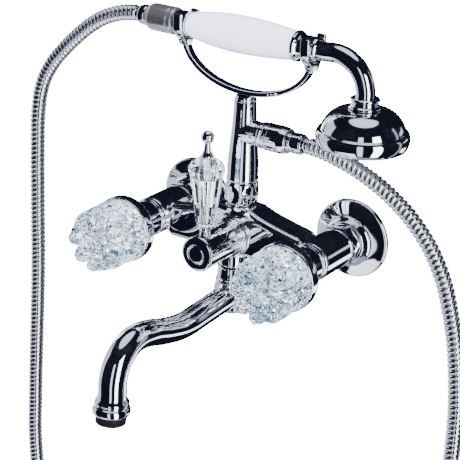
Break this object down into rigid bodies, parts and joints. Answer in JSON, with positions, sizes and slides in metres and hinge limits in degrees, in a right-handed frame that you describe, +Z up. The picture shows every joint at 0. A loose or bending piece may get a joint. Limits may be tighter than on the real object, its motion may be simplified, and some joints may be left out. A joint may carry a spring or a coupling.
{
  "type": "wall mounted bath faucet",
  "caption": "Wall mounted bath mixer with glass valve knobs, a fluted diverter lever, a swivel swan-neck spout and a hand shower resting in a cradle on its riser.",
  "frame": {"origin": "on the wall plane, midway between the two inlet axes", "axes": "+X to the right seen from the front, -Y out of the wall, +Z up along the riser"},
  "size_m": [0.4239, 0.2349, 0.6152],
  "materials": {
    "chrome": "polished chrome plate on brass",
    "satin_chrome": "satin nickel-chrome",
    "crystal": "clear pressed glass",
    "porcelain": "gloss white glaze",
    "rubber": "moulded black rubber",
    "brass": "machined",
    "valve_ceramic": "lapped",
    "hose_steel": "interlocked spiral steel strip"
  },
  "bodies": {
    "mixer": {"mixer_body": "chrome", "left_wall_union": "brass", "right_wall_union": "brass", "left_union_nut": "chrome", "right_union_nut": "chrome", "left_union_washer": "rubber", "right_union_washer": "rubber", "left_wall_flange": "chrome", "right_wall_flange": "chrome", "hot_valve_seal": "rubber", "cold_valve_seal": "rubber", "hot_seat_disc": "valve_ceramic", "cold_seat_disc": "valve_ceramic", "hot_valve_bonnet": "chrome", "cold_valve_bonnet": "chrome", "diverter_bonnet": "chrome", "riser_union_nut": "chrome", "riser_column": "chrome", "cradle_stem": "chrome", "cradle_bow": "chrome", "cradle_left_fork": "chrome", "cradle_right_fork": "chrome", "spout_swivel_nut": "chrome", "spout_seal": "rubber", "outlet_hose_nut": "chrome", "outlet_hose_washer": "rubber", "outlet_hose_ferrule": "chrome", "shower_hose": "hose_steel"},
    "hot_handle": {"hot_turning_disc": "valve_ceramic", "hot_spindle": "brass", "hot_handle_skirt": "chrome", "hot_glass_knob": "crystal", "hot_knob_insert": "brass"},
    "cold_handle": {"cold_turning_disc": "valve_ceramic", "cold_spindle": "brass", "cold_handle_skirt": "chrome", "cold_glass_knob": "crystal", "cold_knob_insert": "brass"},
    "diverter": {"diverter_sleeve": "chrome", "diverter_spool": "brass", "lever_neck": "chrome", "lever_glass": "crystal", "lever_rod": "chrome", "lever_finial": "chrome"},
    "spout": {"spout_socket": "chrome", "spout_tube": "chrome", "spout_end_collar": "chrome", "aerator_body": "rubber", "aerator_insert": "rubber"},
    "handset": {"handset_grip": "porcelain", "handset_inner_tube": "brass", "handset_rear_collar": "chrome", "handset_front_collar": "chrome", "handset_neck": "chrome", "head_collar": "chrome", "head_bell": "chrome", "spray_plate": "satin_chrome", "handset_hose_nut": "satin_chrome", "handset_hose_washer": "rubber", "handset_hose_ferrule": "chrome"}
  },
  "joints": [
    {"name": "hot_handle_turn", "type": "hinge", "parent": "mixer", "child": "hot_handle", "pos_m": [-0.075, 0, 0], "axis": [0, -1, 0], "range_deg": [0, 90]},
    {"name": "cold_handle_turn", "type": "hinge", "parent": "mixer", "child": "cold_handle", "pos_m": [0.075, 0, 0], "axis": [0, 1, 0], "range_deg": [0, 90]},
    {"name": "diverter_turn", "type": "hinge", "parent": "mixer", "child": "diverter", "pos_m": [0, 0, 0], "axis": [0, -1, 0], "range_deg": [-45, 45]},
    {"name": "spout_swivel", "type": "hinge", "parent": "mixer", "child": "spout", "pos_m": [0, -0.057, 0], "axis": [0, 0, 1], "range_deg": [-90, 90]},
    {"name": "handset_lift", "type": "slide", "parent": "mixer", "child": "handset", "axis": [0, 0, 1], "range_m": [0, 0.08]}
  ]
}
